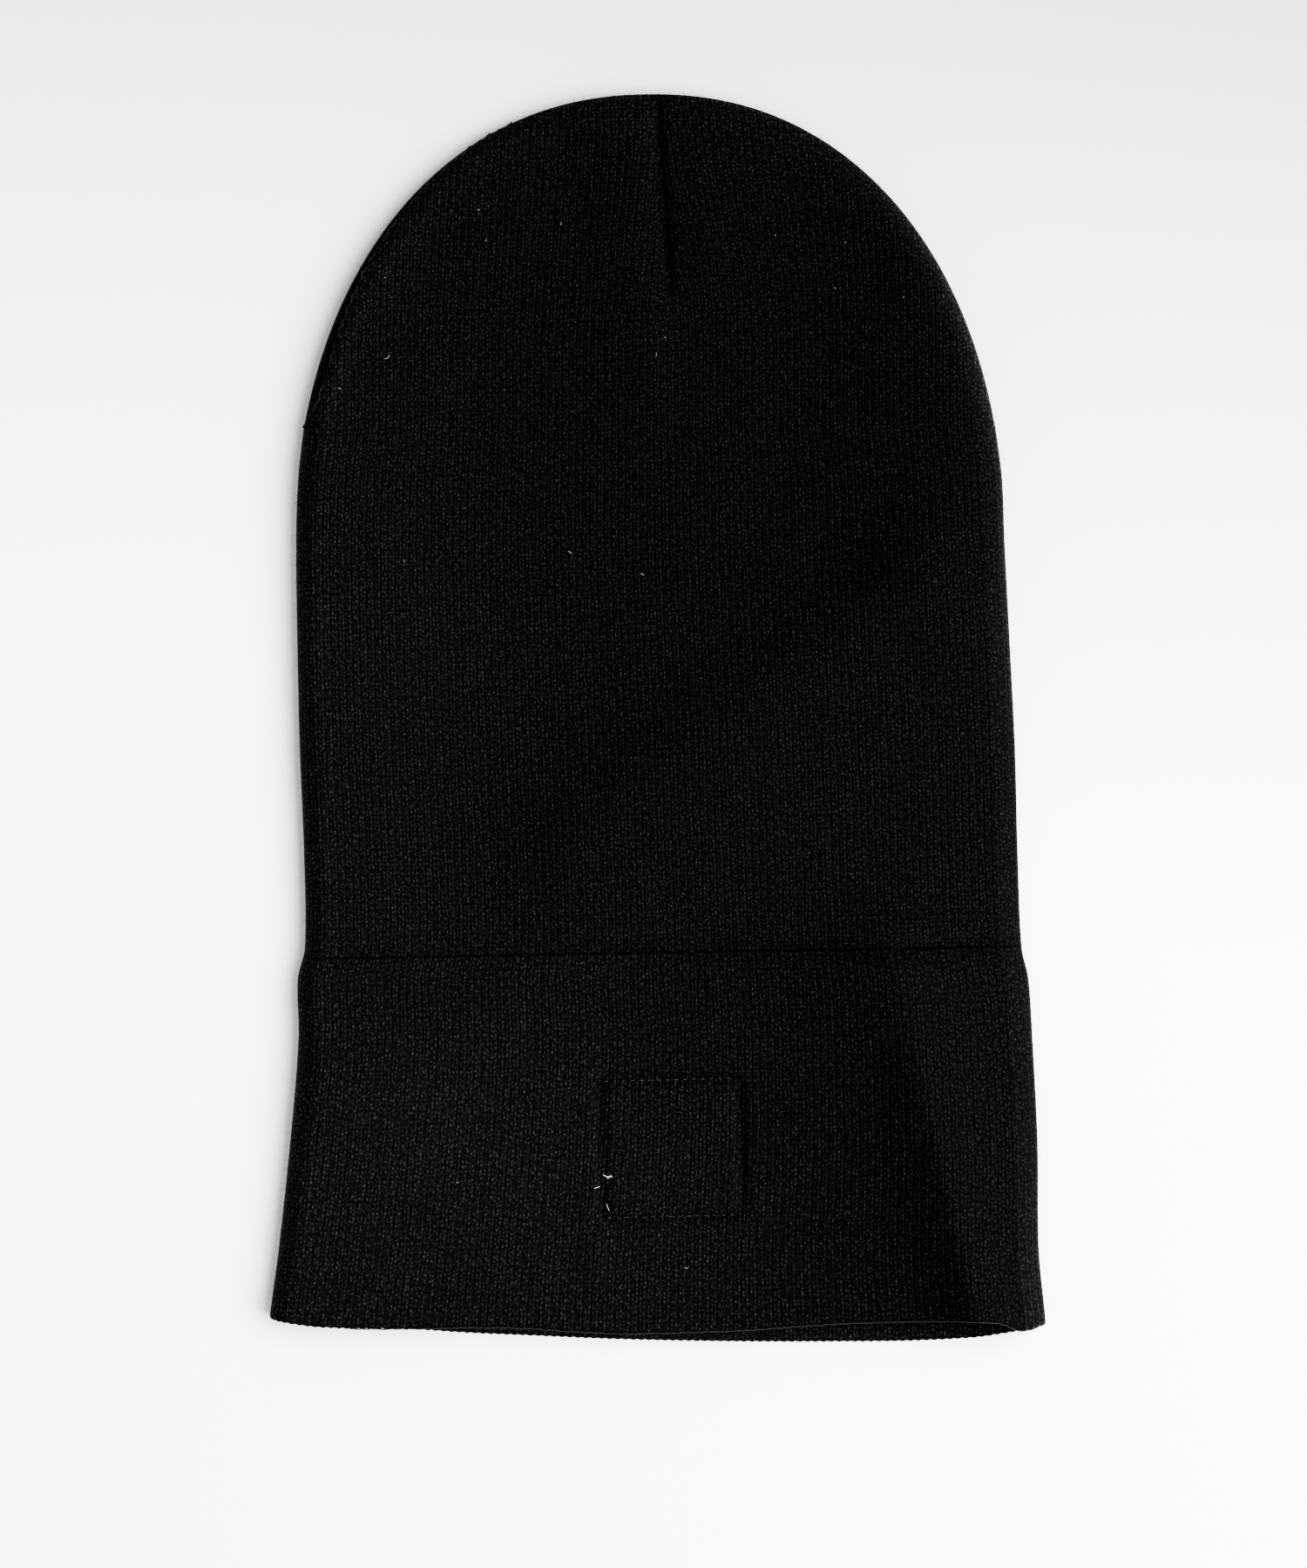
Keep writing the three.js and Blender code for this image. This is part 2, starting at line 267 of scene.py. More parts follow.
def unevenHeight(x, y):
    total = np.zeros(np.broadcast(x, y).shape)
    for length, turn, phase in zip(waveLengths, waveTurns, wavePhases):
        way = (x * math.cos(turn) + y * math.sin(turn)) * 2 * math.pi / length
        total = total + np.sin(way + phase) * length / uneven["longest"]
    return total * uneven["height"] / math.sqrt(uneven["waves"] / 2)


def paintedLightAt(x, y):  # the painted light and shade in the knit's colour, 1 being its finish's own tone
    past = insetAt(x, y) - np.where(y > cap["seamStart"], rolledIn(x, y), 0)
    depth = np.maximum(past, 0)
    # painted light and shade: the knit paler left of the soft border, darker right of it
    share = 0.5 - 0.5 * np.tanh((x - along(paintedLightAndShade, "y", "x", y)) / paintedLightBorder)
    right = along(paintedLightAndShade, "y", "right", y)
    pale = right + (along(paintedLightAndShade, "y", "left", y) - right) * share
    # painted light along the left fold and seam, the left edge and the crown's right rim
    pale = pale + paintedFoldLightAndShade["lift"] * np.exp(-depth / paintedFoldLightAndShade["reach"]) * (x < 0)
    leftEdge = (x < 0) * (y < cap["seamStart"])
    pale = pale + paintedFoldLightAndShade["edgeLift"] * np.exp(-depth / paintedFoldLightAndShade["edgeReach"]) * leftEdge
    inRim = smooth((y - paintedFoldLightAndShade["rightFrom"]) / paintedFoldLightAndShade["rightOver"]) * (x > 0)
    pale = pale + paintedFoldLightAndShade["rightLift"] * np.exp(-depth / paintedFoldLightAndShade["rightReach"]) * inRim
    # painted shade along the sewn square's groove
    fromShade = squareDistance(x, y) - square["shadeOut"]
    pale = pale * (1 - square["shade"] * bell(fromShade, square["shadeReach"]))
    pale = pale * (1 - paleStep["less"] * smooth((y - paleStep["y"]) / paleStep["over"]))
    # painted shade outside the left seam
    outside = np.where(y > cap["seamStart"], smooth(-past / paintedFoldLightAndShade["outsideOver"]), 0)
    pale = pale * (1 + (paintedFoldLightAndShade["outside"] - 1) * outside)
    # painted shade beside the dart
    byDart = bell(x - dartX(y) - dart["shadeAside"], dart["shadeReach"])
    pale = pale * (1 - dart["shade"] * byDart * smooth((y - dart["lowY"]) / (2 * dart["shadeRunOut"]) + 0.5))
    # painted light on the back layer's strip under the raised front
    strip = smooth((along(mouth, "x", "front", x) - paintedFoldLightAndShade["stripUp"] - y) / paintedFoldLightAndShade["stripOver"])
    return pale * (1 + paintedFoldLightAndShade["backStrip"] * strip)


def creaseGroove(x, y):
    off = y - creaseAt(x)
    share = cap["creaseLeft"] + (1 - cap["creaseLeft"]) * smooth((x - leftSide(y)) / cap["creaseGrows"])
    return share * cap["creaseDepth"] * bell(off, np.where(off > 0, cap["creaseUp"], cap["creaseDown"]))


def dartGroove(x, y):
    sharp = smooth((y - dart["lowY"] + dart["runOut"]) / (2 * dart["runOut"]))
    off = x - dartX(y)
    slit = dart["depth"] * lip(off, np.where(off < 0, dart["left"], dart["right"]))
    return sharp * (slit + dart["tuck"] * bell(off, np.where(off < 0, dart["tuckLeft"], dart["tuckRight"])))


def seamGroove(x, y):
    inset = rolledIn(x, y)
    return smooth(inset) * seam["depth"] * lip(insideOutline(x, y) - inset, seam["reach"])


def frontHeight(x, y):
    inset = insetAt(x, y)
    soft = np.clip(inset / cap["foldReach"], 0, 1)
    relief = unevenHeight(x, y) + squareHeight(x, y)
    for fold in folds:
        relief = relief + foldHeight(fold, x, y)
    rise = cap["laidHeight"] - cap["edgeHeight"] + bowHeight(x, y) - seamGroove(x, y)
    tucks = dartGroove(x, y) + creaseGroove(x, y)
    return cap["edgeHeight"] + rise * roundAt(inset) + soft * (relief - tucks)


def backHeight(x, y):
    inset = insetAt(x, y)
    soft = np.clip(inset / cap["foldReach"], 0, 1)
    tucks = dartGroove(x, y) + creaseGroove(x, y)
    return cap["edgeHeight"] * (1 - roundAt(inset)) + soft * cap["backShare"] * tucks


# Wales: the columns of the knit. They run up the cap and end at a seam, as cut cloth does.

lastColumn = knit["flatColumns"] + 2 * knit["roundColumns"]
halvings = 50  # steps of the search for where a column ends


def waleBase(column, y):  # round one side fold, across, and round the other
    turnLeft = np.clip(column / knit["roundColumns"], 0, 1) * math.pi / 2
    turnRight = np.clip((lastColumn - column) / knit["roundColumns"], 0, 1) * math.pi / 2
    share = np.clip((column - knit["roundColumns"]) / knit["flatColumns"], 0, 1)
    y = np.minimum(y, cap["seamStart"])
    left = leftSide(y) + cap["foldReach"] * (1 - np.cos(turnLeft))
    right = rightSide(y) - cap["foldReach"] * (1 - np.cos(turnRight))
    return left + (right - left) * share


dart["baseX"] = float(waleBase(np.array(knit["dartColumn"]), np.array(capTop)))
flatPair = np.array([100.0, 101.0])  # any two columns side by side on the flat
knit["pitch"] = float(np.diff(waleBase(flatPair, np.zeros(2)))[0])


def columnX(column, y):  # a column of points keeps to one side of the dart
    fromDart = waleBase(column, np.full_like(y, capTop)) - dart["baseX"]
    return waleBase(column, y) + (dartX(y) - dart["baseX"]) * bell(fromDart, dart["followReach"])


def columnTops(columns, share):  # how high each column reaches: the rolled seam, or with share 0 the outline
    low = np.full(len(columns), cap["seamStart"])
    high = np.full(len(columns), capTop)
    for _ in range(halvings):
        middle = (low + high) / 2
        x = columnX(columns, middle)
        good = insideOutline(x, middle) > share * rolledIn(x, middle)
        low = np.where(good, middle, low)
        high = np.where(good, high, middle)
    return low


def ribOf(column, x, y, side):  # the wales lean in to the dart and are taken up by it
    total = np.where(side < 0, dart["leanLeft"], -dart["leanRight"])
    rising = smooth((y - dart["leanStart"]) / (capTop - dart["leanStart"]))
    lean = total * rising * np.exp(-np.abs(x - dartX(y)) / dart["leanReach"])
    return (column - lean / knit["pitch"]) / knit["perRib"]


def rowsBetween(low, high, rows):  # one line of row heights for each column
    first = low[:, None] + np.array(rows["low"])
    last = high[:, None] - np.array(rows["high"])
    share = 1 - (1 - np.arange(1, rows["count"]) / rows["count"]) ** rows["bunch"]
    between = first[:, -1:] + (last[:, :1] - first[:, -1:]) * share
    return np.hstack([first, between, last])


def courseOf(x, y):  # which row of stitches a point lies in
    level = y - creaseAt(x)
    return np.where(level > 0, level / knit["courseCrown"], level / knit["courseCuff"])


# Meshes from grids of points

class Cloth:  # points, faces and the knit coordinates of each face corner
    def __init__(self):
        self.points = []
        self.count = 0
        self.faces = []
        self.corners = []

    def add(self, points):  # returns the numbers of the new points
        points = np.asarray(points, float)
        flat = points.reshape(-1, 3)
        self.points.append(flat)
        numbers = np.arange(self.count, self.count + len(flat)).reshape(points.shape[:-1])
        self.count += len(flat)
        return numbers

    def sheet(self, numbers, grid, flip):  # quads over a grid of point numbers
        def fourOf(a):
            around = [a[:-1, :-1], a[1:, :-1], a[1:, 1:], a[:-1, 1:]]
            return np.stack(around[::-1] if flip else around, axis=2)
        quads = fourOf(numbers).reshape(-1, 4)
        spots = fourOf(grid).reshape(-1, 4, 2)
        same = quads == np.roll(quads, -1, axis=1)
        whole = ~same.any(axis=1)
        self.faces += quads[whole].tolist()
        self.corners.append(spots[whole].reshape(-1, 2))
        for quad, spot, repeat in zip(quads[~whole], spots[~whole], same[~whole]):
            keep = ~repeat
            if keep.sum() >= 3:
                self.faces.append(quad[keep].tolist())
                self.corners.append(spot[keep])

    def allPoints(self):
        return np.vstack(self.points)

    def turnedCorners(self):  # the face corners when the faces are turned over
        flat = np.vstack(self.corners)
        stops = np.cumsum([len(face) for face in self.faces])
        return np.vstack([flat[stop - len(face):stop][::-1] for face, stop in zip(self.faces, stops)])


def normalsOf(points, faces):
    total = np.zeros_like(points)
    fans = [(f[0], f[k], f[k + 1]) for f in faces for k in range(1, len(f) - 1)]
    tri = np.array(fans)
    normal = np.cross(points[tri[:, 1]] - points[tri[:, 0]], points[tri[:, 2]] - points[tri[:, 0]])
    for k in range(3):
        np.add.at(total, tri[:, k], normal)
    length = np.linalg.norm(total, axis=1, keepdims=True)
    return total / np.maximum(length, 1e-12)


def linkThing(name, data):
    thing = bpy.data.objects.new(name, data)
    bpy.context.scene.collection.objects.link(thing)
    return thing


def linkMesh(name, points, faces, material):
    mesh = bpy.data.meshes.new(name)
    mesh.from_pydata(points, [], faces)
    mesh.materials.append(material)
    return linkThing(name, mesh)


def makePiece(name, points, faces, material, corners=None):
    piece = linkMesh(name, (points * mm).tolist(), faces, material)
    mesh = piece.data
    if corners is not None:
        layer = mesh.uv_layers.new(name="knitGrid")
        layer.uv.foreach_set("vector", np.vstack(corners).astype(np.float32).ravel())
        # the painted light and shade, kept on the points for the knit's colour
        pale = mesh.attributes.new("paintedLightAndShade", "FLOAT", "POINT")
        pale.data.foreach_set("value", paintedLightAt(points[:, 0], points[:, 1]).astype(np.float32))
    mesh.polygons.foreach_set("use_smooth", np.full(len(mesh.polygons), True))
    mesh.update()
    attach(piece, "root")
    return piece


def ribProfile(ribs):  # 0 on the two legs of a rib, lower between them and lowest between ribs
    phase = ribs * 2 * math.pi
    return -0.5 - 0.5 * np.cos(phase) + knit["legDip"] * (np.cos(2 * phase) - 1) * 0.5


# Shaders

def operators(kind):  # one operator of a socket and its reflected form
    def plain(self, other):
        return mathNode(kind, self, other)

    def reflected(self, other):
        return mathNode(kind, other, self)

    return plain, reflected


class Wire:  # an output socket that can be used in sums
    def __init__(self, socket):
        self.socket = socket

    def out(self, name):
        return Wire(self.socket.node.outputs[name])

    __add__, __radd__ = operators("ADD")
    __sub__, __rsub__ = operators("SUBTRACT")
    __mul__, __rmul__ = operators("MULTIPLY")
    __truediv__, __rtruediv__ = operators("DIVIDE")
    __pow__, __rpow__ = operators("POWER")


def put(socket, value):
    if isinstance(value, Wire):
        socket.id_data.links.new(value.socket, socket)
    else:
        socket.default_value = value


def mathNode(operation, *values):
    tree = next(v for v in values if isinstance(v, Wire)).socket.id_data
    node = tree.nodes.new("ShaderNodeMath")
    node.operation = operation
    for socket, value in zip(node.inputs, values):
        put(socket, value)
    return Wire(node.outputs[0])


def between(value, low, high):
    return mathNode("MINIMUM", mathNode("MAXIMUM", value, low), high)


class Finish:  # the nodes of a new material or world, and the one method that adds any other node
    def __init__(self, owner):
        self.owner = owner
        owner.use_nodes = True
        self.tree = owner.node_tree
        self.tree.nodes.clear()

    def node(self, kind, settings=None, inputs=None, output=0):
        made = self.tree.nodes.new(kind)
        for name, value in (settings or {}).items():
            setattr(made, name, value)
        for name, value in (inputs or {}).items():
            put(made.inputs[name], value)
        return Wire(made.outputs[output])

    def parts(self, vector):
        return self.node("ShaderNodeSeparateXYZ", None, {"Vector": vector})

    def noise(self, place, scale, detail, output="Fac"):
        inputs = {"Vector": place, "Scale": scale, "Detail": detail}
        return self.node("ShaderNodeTexNoise", None, inputs, output)

    def mixColour(self, share, first, second):
        return self.node("ShaderNodeMix", {"data_type": "RGBA", "clamp_factor": False},
                         {0: share, 6: first, 7: second}, 2)

    def surface(self, inputs):
        return self.close("ShaderNodeOutputMaterial", self.node("ShaderNodeBsdfPrincipled", None, inputs))

    def close(self, kind, shader):  # joins the last shader to the output
        put(self.tree.nodes.new(kind).inputs["Surface"], shader)
        return self.owner


# Between the stitches the yarn has the tone and roughness of the gap; that darker tone is painted shade
yarn = {
    "paintedGapShade": (0.0055, 0.0055, 0.0055, 1), "leg": (0.0212, 0.0212, 0.0213, 1), "brightest": 1.6, "paintedValleyShade": 0.2,
    "roughness": 0.5, "gapRoughness": 0.68, "roughnessSteep": 1.5, "shine": 0.04, "sheen": 0.0012,
    "sheenRoughness": 0.6, "bumpDistance": 0.00019, "bumpStrength": 0.78,
    # the stitches: how they slant and stand against their neighbours, wander, and differ in height and tone
    "slant": 0.5, "stagger": 0.5, "drift": 0.26, "driftUp": 2.2, "driftScale": 420.0, "jitter": 0.72,
    "flatTop": 0.2, "heightLeast": 0.7, "heightVaries": 0.6, "dot": 2.3,
    "toneLeast": 0.42, "toneVaries": 1.2, "toneSteep": 1.8,
    # the strands in a stitch, and the fuzz over all
    "strandAcross": 7.0, "strandUp": 1.1, "strandHeight": 0.5, "strandGain": 2.3, "strandCut": 0.35,
    "fuzzScale": 4200.0, "fuzzHeight": 0.5, "fuzzGain": 2.2, "fuzzCut": 0.1,
}


def hump(value):  # 1 in the middle of a stitch, 0 at its edge and past it
    return mathNode("COSINE", mathNode("MINIMUM", mathNode("ABSOLUTE", value), 0.5) * math.pi)


def yarnMaterial():  # each leg of each stitch is one raised oval, and no two are quite alike
    finish = Finish(bpy.data.materials.new("blackRibKnit"))
    dice = "ShaderNodeTexWhiteNoise"  # one random value for each leg or stitch
    grid = finish.parts(finish.node("ShaderNodeUVMap", {"uv_map": "knitGrid"}))
    place = finish.node("ShaderNodeTexCoord", None, None, "Object")
    drift = finish.parts(finish.noise(place, yarn["driftScale"], 1.0, "Color"))
    rib = grid.out("X") + (drift.out("X") - 0.5) * yarn["drift"]
    course = grid.out("Y") + (drift.out("Y") - 0.5) * (yarn["drift"] * yarn["driftUp"])
    # which leg and which row a spot is in, and how far from the middle of that stitch
    legs = rib * 2
    leg = mathNode("FLOOR", legs)
    acrossLeg = legs - leg - 0.5
    fromMiddle = mathNode("ABSOLUTE", mathNode("FRACT", rib) - 0.5)
    staggered = finish.node(dice, {"noise_dimensions": "1D"}, {"W": leg}, "Value")
    raised = course - fromMiddle * yarn["slant"] + staggered * yarn["stagger"]
    row = mathNode("FLOOR", raised)
    upLeg = raised - row - 0.5
    cell = finish.node("ShaderNodeCombineXYZ", None, {"X": leg, "Y": row, "Z": 0.5})
    luck = finish.parts(finish.node(dice, {"noise_dimensions": "3D"}, {"Vector": cell}, "Color"))
    # relief
    strandPlace = {"X": rib * yarn["strandAcross"], "Y": course * yarn["strandUp"], "Z": 0.0}
    strands = finish.noise(finish.node("ShaderNodeCombineXYZ", None, strandPlace), 1.0, 2.0)
    fuzz = finish.noise(place, yarn["fuzzScale"], 2.0)
    roundUp = mathNode("COSINE", upLeg * math.pi) * (1 - yarn["flatTop"]) + yarn["flatTop"]
    taller = yarn["heightLeast"] + yarn["heightVaries"] * luck.out("X")
    height = mathNode("COSINE", acrossLeg * math.pi) * roundUp * taller
    height = height + (strands - 0.5) * yarn["strandHeight"] + (fuzz - 0.5) * yarn["fuzzHeight"]
    relief = {"Height": height, "Strength": yarn["bumpStrength"], "Distance": yarn["bumpDistance"]}
    # tone: a painted highlight, a pale dot on each stitch, moved off its middle, and painted shade, darker
    # between the ribs
    dot = hump(acrossLeg + (luck.out("Y") - 0.5) * yarn["jitter"])
    dot = dot * hump(upLeg + (luck.out("Z") - 0.5) * yarn["jitter"])
    tone = dot ** yarn["dot"] * (luck.out("X") ** yarn["toneSteep"] * yarn["toneVaries"] + yarn["toneLeast"])
    tone = tone * (strands * yarn["strandGain"] - yarn["strandCut"])
    tone = tone * (fuzz * yarn["fuzzGain"] - yarn["fuzzCut"])
    tone = tone * (1 - (mathNode("COSINE", rib * (2 * math.pi)) * 0.5 + 0.5) * yarn["paintedValleyShade"])
    plain = finish.mixColour(between(tone, 0.0, yarn["brightest"]), yarn["paintedGapShade"], yarn["leg"])
    # the painted light and shade kept on the mesh scale the knit's colour
    pale = finish.node("ShaderNodeAttribute", {"attribute_name": "paintedLightAndShade"}, None, "Fac")
    onDot = mathNode("MINIMUM", dot * yarn["roughnessSteep"], 1.0)
    roughness = yarn["gapRoughness"] + onDot * (yarn["roughness"] - yarn["gapRoughness"])
    return finish.surface({
        "Base Color": finish.mixColour(pale, (0, 0, 0, 1), plain), "Roughness": roughness,
        "Normal": finish.node("ShaderNodeBump", None, relief), "Specular IOR Level": yarn["shine"],
        "Sheen Weight": yarn["sheen"], "Sheen Roughness": yarn["sheenRoughness"],
    })


speckle = {"scale": 3000.0, "dark": 0.6}  # the fine unevenness of thread and lint


def threadMaterial(name, colour, roughness, shine):
    finish = Finish(bpy.data.materials.new(name))
    place = finish.node("ShaderNodeTexCoord", None, None, "Object")
    dark = tuple(c * speckle["dark"] for c in colour) + (1,)
    shade = finish.mixColour(finish.noise(place, speckle["scale"], 1.0), dark, colour + (1,))
    return finish.surface({"Base Color": shade, "Roughness": roughness, "Specular IOR Level": shine})


knitFinish = yarnMaterial()
print("stage: finishes made")

# Crown

# Where the rows of points lie, in millimetres from each end, and how many steps are spread between, closer
# together towards the top where bunch is over 1. Wrap: shares of the way from the edge to the rolled seam.
crownRows = {"low": [0, 0.6, 1.3, 2.1, 3.0, 4.2], "high": [6.0, 4.8, 3.7, 2.7, 1.9, 1.2, 0.6, 0.2, 0],
             "count": 100, "bunch": 1.5, "wrap": [0.07, 0.28, 0.6, 1.0]}
crownLining = {"low": [0, 2, 5], "high": [6.0, 4.0, 2.0, 0.6, 0], "count": 20, "bunch": 1}
joinGap = 0.02  # half the gap between crown and cuff in the crease


def gridOf(columns, ys, heightAt):
    xs = columnX(columns[:, None], ys)
    return np.stack([xs, ys, heightAt(xs, ys)], axis=2)


def knitSpots(columns, points, face, side=0):  # knit coordinates of a grid of points
    xs = points[..., 0]
    ys = points[..., 1]
    plain = np.broadcast_to(columns[:, None] / knit["perRib"], xs.shape)
    ribs = ribOf(columns[:, None], xs, ys, side) if side else plain
    return np.stack([face * ribs, courseOf(xs, ys)], axis=2)


def creaseOf(wales):  # where each wale crosses the crease
    return creaseAt(waleBase(wales, np.full(len(wales), cap["creaseMiddle"])))


def tubeOf(wales, over, under, closed):  # a front and a back joined at their sides, and at the top if closed
    tube = Cloth()
    front = tube.add(over)
    back = tube.add(under)
    back[0] = front[0]
    back[-1] = front[-1]
    if closed:
        back[:, -1] = front[:, -1]
    tube.sheet(front, knitSpots(wales, over, 1), False)
    tube.sheet(back, knitSpots(wales, under, -1), True)
    points = tube.allPoints()
    return tube, front, back, points, normalsOf(points, tube.faces)


def ringOf(front, back, row):  # once round the tube, along one row of points of both layers
    return np.concatenate([front[:, row], back[-2:0:-1, row]])


def keepLevel(normals, numbers):  # at an open end the wall is thickened across the tube only
    normals[numbers, 1] = 0
    normals /= np.maximum(np.linalg.norm(normals, axis=1, keepdims=True), 1e-9)


def jointFaces(outer, lining, count):  # the faces and corners of both sides of the cloth
    faces = outer.faces + [[count + n for n in face[::-1]] for face in lining.faces]
    return faces, outer.corners + [lining.turnedCorners()]


def tidyPiece(name, points, faces, corners):  # drops points that no face uses
    used = np.zeros(len(points), bool)
    used[np.concatenate([np.asarray(face) for face in faces])] = True
    renumber = np.cumsum(used) - 1
    faces = [renumber[np.asarray(face)].tolist() for face in faces]
    return makePiece(name, points[used], faces, knitFinish, corners)


def ribbedCrown(points, normals, ribs):  # ribs stand up from the cloth and fade into the seams
    x = points[:, 0]
    y = points[:, 1]
    inset = insideOutline(x, y)
    toSeam = np.minimum(np.abs(inset - rolledIn(x, y)), np.abs(inset))
    nearSeam = np.where(y > cap["seamStart"], smooth(toSeam / seam["ribFade"]), 1)
    nearDart = np.where(y > dart["lowY"], 1 - lip(x - dartX(y), dart["ribFade"]), 1)
    depth = knit["ribDepth"] * ribProfile(ribs) * np.minimum(nearSeam, nearDart)
    return points + normals * depth[:, None]


def makeCrown():
    wales = np.arange(lastColumn + 1).astype(float)
    middle = knit["dartColumn"]
    start = creaseOf(wales) + joinGap
    frontTop = columnTops(wales, 1)
    backTop = columnTops(wales, 0)
    atEdge = backTop - frontTop < seam["least"]
    frontTop = np.where(atEdge, backTop, frontTop)
    frontY = rowsBetween(start, frontTop, crownRows)
    backY = rowsBetween(start, backTop, crownRows)
    wrapY = backTop[:, None] + (frontTop - backTop)[:, None] * np.array(crownRows["wrap"])
    frontPoints = gridOf(wales, frontY, frontHeight)
    around = np.concatenate([gridOf(wales, backY, backHeight), gridOf(wales, wrapY, frontHeight)], axis=1)
    cloth = Cloth()
    front = cloth.add(frontPoints)
    back = cloth.add(around)
    # the two grids share the side folds and the seam
    last = front.shape[1] - 1
    back[:, -1] = front[:, last]
    back[atEdge, last:] = front[atEdge, last][:, None]
    for j in (0, lastColumn):
        back[j] = front[j, np.minimum(np.arange(around.shape[1]), last)]
    for part, side in ((slice(0, middle + 1), -1), (slice(middle, None), 1)):
        cloth.sheet(front[part], knitSpots(wales[part], frontPoints[part], 1, side), False)
        cloth.sheet(back[part], knitSpots(wales[part], around[part], -1, side), True)
    points = cloth.allPoints()
    side = np.where(wales[:, None] < middle, -1, 1)
    ribs = np.concatenate([ribOf(wales[:, None], grid[..., 0], grid[..., 1], side).ravel()
                           for grid in (frontPoints, around)])
    points = ribbedCrown(points, normalsOf(points, cloth.faces), ribs)
    # inner face, coarser, one wall further in
    step = knit["perRib"]
    few = wales[::step]
    innerY = rowsBetween(start[::step], columnTops(few, 0), crownLining)
    inFront = gridOf(few, innerY, frontHeight)
    inBack = gridOf(few, innerY, backHeight)
    lining, above, below, inner, normals = tubeOf(few, inFront, inBack, True)
    keepLevel(normals, np.concatenate([above[:, 0], below[:, 0]]))
    inner = inner - normals * cap["wall"]
    faces, corners = jointFaces(cloth, lining, len(points))
    # rim at the crease, where each inner step meets the outer points of one rib
    outerRing = ringOf(front, back, 0)
    innerRing = len(points) + ringOf(above, below, 0)
    for k, here in enumerate(innerRing):
        there = innerRing[(k + 1) % len(innerRing)]
        run = [outerRing[(k * step + s) % len(outerRing)] for s in range(step + 1)]
        faces.append([int(n) for n in [here, there, *run[::-1]]])
        corners.append(np.zeros((step + 3, 2)))
    return tidyPiece("crownKnit", np.vstack([points, inner]), faces, corners)


crown = makeCrown()
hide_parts("crown")
print("stage: crown knitted,", len(crown.data.polygons), "faces")

# Cuff

cuffRows = {"low": [0, 0.5, 1.2, 2.2, 3.6], "high": [4.2, 3.0, 2.1, 1.3, 0.6, 0], "count": 72, "bunch": 1}
cuffLining = {"low": [0, 0.6, 1.6, 3.0], "high": [3.0, 0], "count": 18, "bunch": 1}
# The edge of the mouth: thinner cloth, rounded and dipping at each rib, its front standing up a little
mouthEdge = {"thin": 1.5, "reach": 5.0, "drop": 0.35, "scallop": 0.14, "inward": 0.28, "rowPart": 0.3,
             "lift": 0.5, "liftReach": 3.0}


def cuffGrid(wales, layer, rows):  # points of one layer and how far each is from the mouth's edge
    high = creaseOf(wales) - joinGap
    at = waleBase(wales, np.full(len(wales), mouth[0][layer]))
    low = along(mouth, "x", layer, at)
    ys = rowsBetween(low, high, rows)
    xs = waleBase(wales[:, None], ys)
    if layer == "front":
        lifted = mouthEdge["lift"] * bell(ys - low[:, None], mouthEdge["liftReach"])
        heights = frontHeight(xs, ys) + lifted * roundAt(insetAt(xs, ys))
    else:
        heights = backHeight(xs, ys)
    return np.stack([xs, ys, heights], axis=2), ys - low[:, None]


def cuffTube(wales, rows):  # a tube as above, with the ribs' depth and the distance from the mouth's edge
    over, overRise = cuffGrid(wales, "front", rows)
    under, underRise = cuffGrid(wales, "back", rows)
    depth = np.broadcast_to(ribProfile(wales / knit["perRib"])[:, None], overRise.shape).ravel()
    rise = np.concatenate([overRise.ravel(), underRise.ravel()])
    return *tubeOf(wales, over, under, False), np.tile(depth, 2), rise


